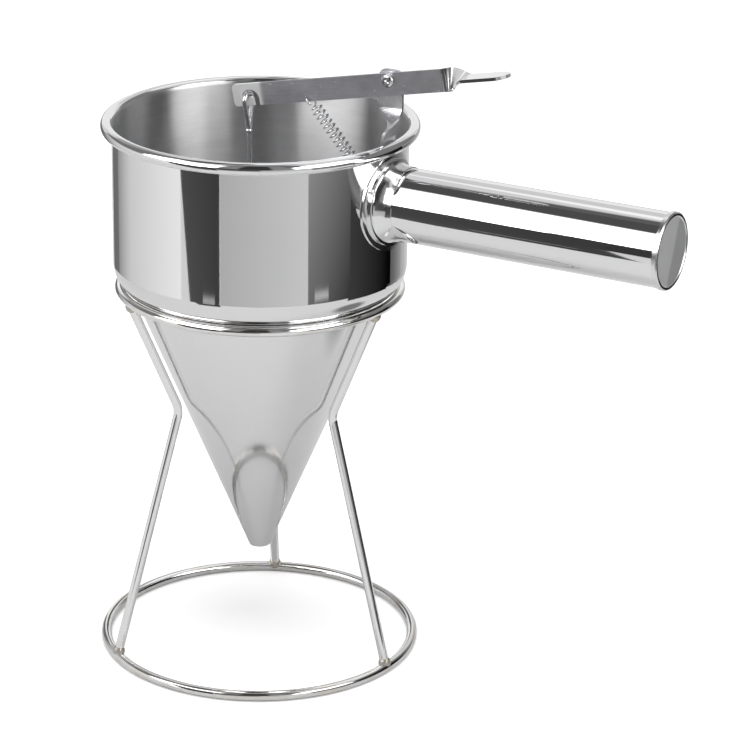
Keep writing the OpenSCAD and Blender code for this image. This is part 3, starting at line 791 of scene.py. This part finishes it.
# The handle's shade on the table, for mirrors: its middle, the reach of its dark part and of its
# edge in metres, and its brightness
SHADE_MIDDLE = (0.22, 0.075)
SHADE_REACH = (0.040, 0.085)
SHADE_LEVEL = 0.25

# The table's radius, and how much brighter the camera sees it far out, between two distances
TABLE_RADIUS = 30.0
FAR_LIFT = 0.2
FAR_REACH = (0.4, 3.0)

# The lamp overhead
LAMP_DIAMETER = 1.6
LAMP_PLACE = (0.2, -0.3, 2.0)
LAMP_TILT = (math.radians(-8.0), math.radians(6.0), 0.0)


def ray_kinds(start):
    """Two masks: what the camera sees, and what mirrors and glass show."""
    paths = start.node("ShaderNodeLightPath").socket.node
    seen, mirrored, through = [Flow(start.tree, paths.outputs[name]) for name in
                               ("Is Camera Ray", "Is Glossy Ray", "Is Transmission Ray")]
    return seen, start.math("MAXIMUM", mirrored, through)


def set_table(colours, studio):
    """A wide pale table that keeps the object's shadow."""
    material, start = new_material("table_top")
    place = object_place(start)
    weave = start.noise(place, scale=3.0, detail=2.0)
    seen, mirrored = ray_kinds(start)
    kept = studio.mirrored_share
    x, y, _ = place.parts()
    _, reach = round_axis(start, x - SHADE_MIDDLE[0], y - SHADE_MIDDLE[1])
    plain = weave.blend(rgba(colours.floor, 0.995), rgba(colours.floor, 1.005))
    reflected = weave.blend(rgba(colours.floor, kept - 0.01), rgba(colours.floor, kept + 0.01))
    shaded = reach.rise(*SHADE_REACH).blend(rgba(colours.floor, SHADE_LEVEL), reflected)
    colour = mirrored.blend(plain, shaded)
    _, out = round_axis(start, x, y)
    lift = seen * (studio.seen_lift + FAR_LIFT * out.rise(*FAR_REACH))
    surface = start.node("ShaderNodeBsdfPrincipled", None, {
        "Base Color": colour, "Roughness": 1.0, "Specular IOR Level": 0.0,
        "Emission Color": lift.blend(rgba((0.0, 0.0, 0.0)), rgba((1.0, 1.0, 1.0))),
        "Emission Strength": 1.0})
    close(material, start, surface)

    def disc(shape):
        """The round table top."""
        bmesh.ops.create_circle(shape, cap_ends=True, cap_tris=False, segments=96,
                                radius=TABLE_RADIUS)

    add_piece("table", disc, material, None)


def card_material(name):
    """A card that glows with the grey painted on its corners."""
    material, start = new_material(name)
    grey = start.node("ShaderNodeVertexColor", {"layer_name": "grey"})
    return close(material, start, start.node("ShaderNodeEmission", None,
                                             {"Color": grey, "Strength": 1.0}))


def add_card(name, foot, top, low, high, distance, heights, material):
    """A curved card round the object, seen only in mirrors."""
    steps = max(2, int(abs(foot[1] - foot[0]) / CARD_STEP))
    mesh = bpy.data.meshes.new(name)
    points, faces, greys = [], [], []
    for i in range(steps + 1):
        t = i / steps
        for sides, levels, height in zip((foot, top), (low, high), heights):
            a = math.radians(sides[0] + (sides[1] - sides[0]) * t)
            points.append((distance * math.cos(a), distance * math.sin(a), height))
            greys.append(levels[0] + (levels[1] - levels[0]) * t)
    for i in range(steps):
        faces.append((2 * i, 2 * i + 1, 2 * i + 3, 2 * i + 2))
    mesh.from_pydata(points, [], faces)
    layer = mesh.color_attributes.new(name="grey", type="FLOAT_COLOR", domain="POINT")
    layer.data.foreach_set("color", [part for grey in greys for part in (grey, grey, grey, 1.0)])
    mesh.materials.append(material)
    card = bpy.data.objects.new(name, mesh)
    bpy.context.scene.collection.objects.link(card)
    card.visible_camera = False
    card.visible_diffuse = False
    card.visible_shadow = False


def set_cards():
    """The cards round the object."""
    material = card_material("card_paint")
    for name, *measures in CARDS:
        add_card(name, *measures, material)


def set_world(scene, studio):
    """White for the camera, walls and lamps for mirrors, and even light for the rest."""
    world = bpy.data.worlds.new("studio")
    scene.world = world
    world.use_nodes = True
    world.node_tree.nodes.clear()
    start = Flow(world.node_tree)
    x, y, z = start.node("ShaderNodeTexCoord").parts()
    level = start.math("SQRT", x * x + y * y)
    height = start.math("ARCTAN2", z, level)
    walls = WALL_LEVEL
    for _, (middle, half), (low, high), brightness in PATCHES:
        side = math.radians(middle)
        away = start.math("ARCCOSINE", (x * math.cos(side) + y * math.sin(side)) / level)
        within = 1.0 - away.border(math.radians(half), PATCH_EDGE)
        above = height.border(math.radians(low), PATCH_EDGE)
        under = 1.0 - height.border(math.radians(high), PATCH_EDGE)
        mask = within * above * under
        walls = walls + mask * (brightness - walls)
    seen, mirrored = ray_kinds(start)
    even = 1.0 - start.math("MAXIMUM", seen, mirrored)
    strength = seen + mirrored * walls + even * studio.world_level
    background = start.node("ShaderNodeBackground", None, {"Color": rgba((1.0, 1.0, 1.0)),
                                                           "Strength": strength})
    start.node("ShaderNodeOutputWorld", None, {"Surface": background})


def set_lamp(scene, studio):
    """One wide soft lamp overhead, not seen in the steel."""
    lamp = bpy.data.lights.new("top_lamp", "AREA")
    lamp.shape = "DISK"
    lamp.size = LAMP_DIAMETER
    lamp.energy = studio.lamp_power
    holder = bpy.data.objects.new("top_lamp", lamp)
    scene.collection.objects.link(holder)
    holder.location = LAMP_PLACE
    holder.rotation_euler = LAMP_TILT
    holder.visible_glossy = False


def set_camera(scene, studio):
    """The camera, placed by its side, distance and height, then turned, pitched and rolled."""
    side = studio.camera_azimuth
    looking = side - studio.camera_turn
    pitch, roll = studio.camera_pitch, studio.camera_roll
    right = Vector((math.cos(looking), math.sin(looking), 0.0))
    ahead = Vector((-math.sin(looking) * math.cos(pitch), math.cos(looking) * math.cos(pitch),
                    -math.sin(pitch)))
    up = right.cross(ahead)
    across = right * math.cos(roll) + up * math.sin(roll)
    above = up * math.cos(roll) - right * math.sin(roll)
    lens = bpy.data.cameras.new("camera")
    lens.sensor_width = 36.0
    lens.lens = studio.camera_lens
    lens.clip_end = 100.0
    camera = bpy.data.objects.new("camera", lens)
    scene.collection.objects.link(camera)
    place = Matrix.Translation((math.sin(side) * studio.camera_distance,
                                -math.cos(side) * studio.camera_distance, studio.camera_height))
    turned = Matrix((across, above, -ahead)).transposed().to_4x4()
    camera.matrix_world = place @ turned
    scene.camera = camera
    scene.view_settings.view_transform = "Standard"


class DISPENSER_OT_studio(bpy.types.Operator):
    """Set the table, the cards that the steel mirrors, the lamp and the camera"""

    bl_idname = "dispenser.studio"
    bl_label = "Studio"

    def execute(self, context):
        _, colours, studio = settings(context)
        set_table(colours, studio)
        set_cards()
        set_world(context.scene, studio)
        set_lamp(context.scene, studio)
        set_camera(context.scene, studio)
        return {"FINISHED"}


class DISPENSER_PT_panel(bpy.types.Panel):
    """The steps that finish the dispenser"""

    bl_label = "Batter dispenser"
    bl_idname = "DISPENSER_PT_panel"
    bl_space_type = "VIEW_3D"
    bl_region_type = "UI"
    bl_category = "Dispenser"

    def draw(self, context):
        for step in STEPS:
            self.layout.operator(step.bl_idname)
        for group in settings(context):
            box = self.layout.box()
            for name in group.bl_rna.properties.keys():
                if name not in ("rna_type", "name"):
                    box.prop(group, name)


GROUPS = (DispenserSizes, DispenserColours, DispenserStudio)
STEPS = (DISPENSER_OT_funnel, DISPENSER_OT_handle, DISPENSER_OT_lever, DISPENSER_OT_valve,
         DISPENSER_OT_spring, DISPENSER_OT_stand, DISPENSER_OT_studio)


def register():
    """Adds the settings, steps and panel."""
    for kind in (*GROUPS, *STEPS, DISPENSER_PT_panel):
        bpy.utils.register_class(kind)
    bpy.types.Scene.dispenser_sizes = bpy.props.PointerProperty(type=DispenserSizes)
    bpy.types.Scene.dispenser_colours = bpy.props.PointerProperty(type=DispenserColours)
    bpy.types.Scene.dispenser_studio = bpy.props.PointerProperty(type=DispenserStudio)


def unregister():
    """Takes them away again."""
    del bpy.types.Scene.dispenser_studio
    del bpy.types.Scene.dispenser_colours
    del bpy.types.Scene.dispenser_sizes
    for kind in reversed((*GROUPS, *STEPS, DISPENSER_PT_panel)):
        bpy.utils.unregister_class(kind)


def main():
    """Dresses the frame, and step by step."""
    register()
    bpy.ops.dispenser.funnel()
    bpy.ops.dispenser.handle()
    bpy.ops.dispenser.lever()
    bpy.ops.dispenser.valve()
    bpy.ops.dispenser.spring()
    bpy.ops.dispenser.stand()
    bpy.ops.dispenser.studio()


if __name__ == "__main__":
    main()
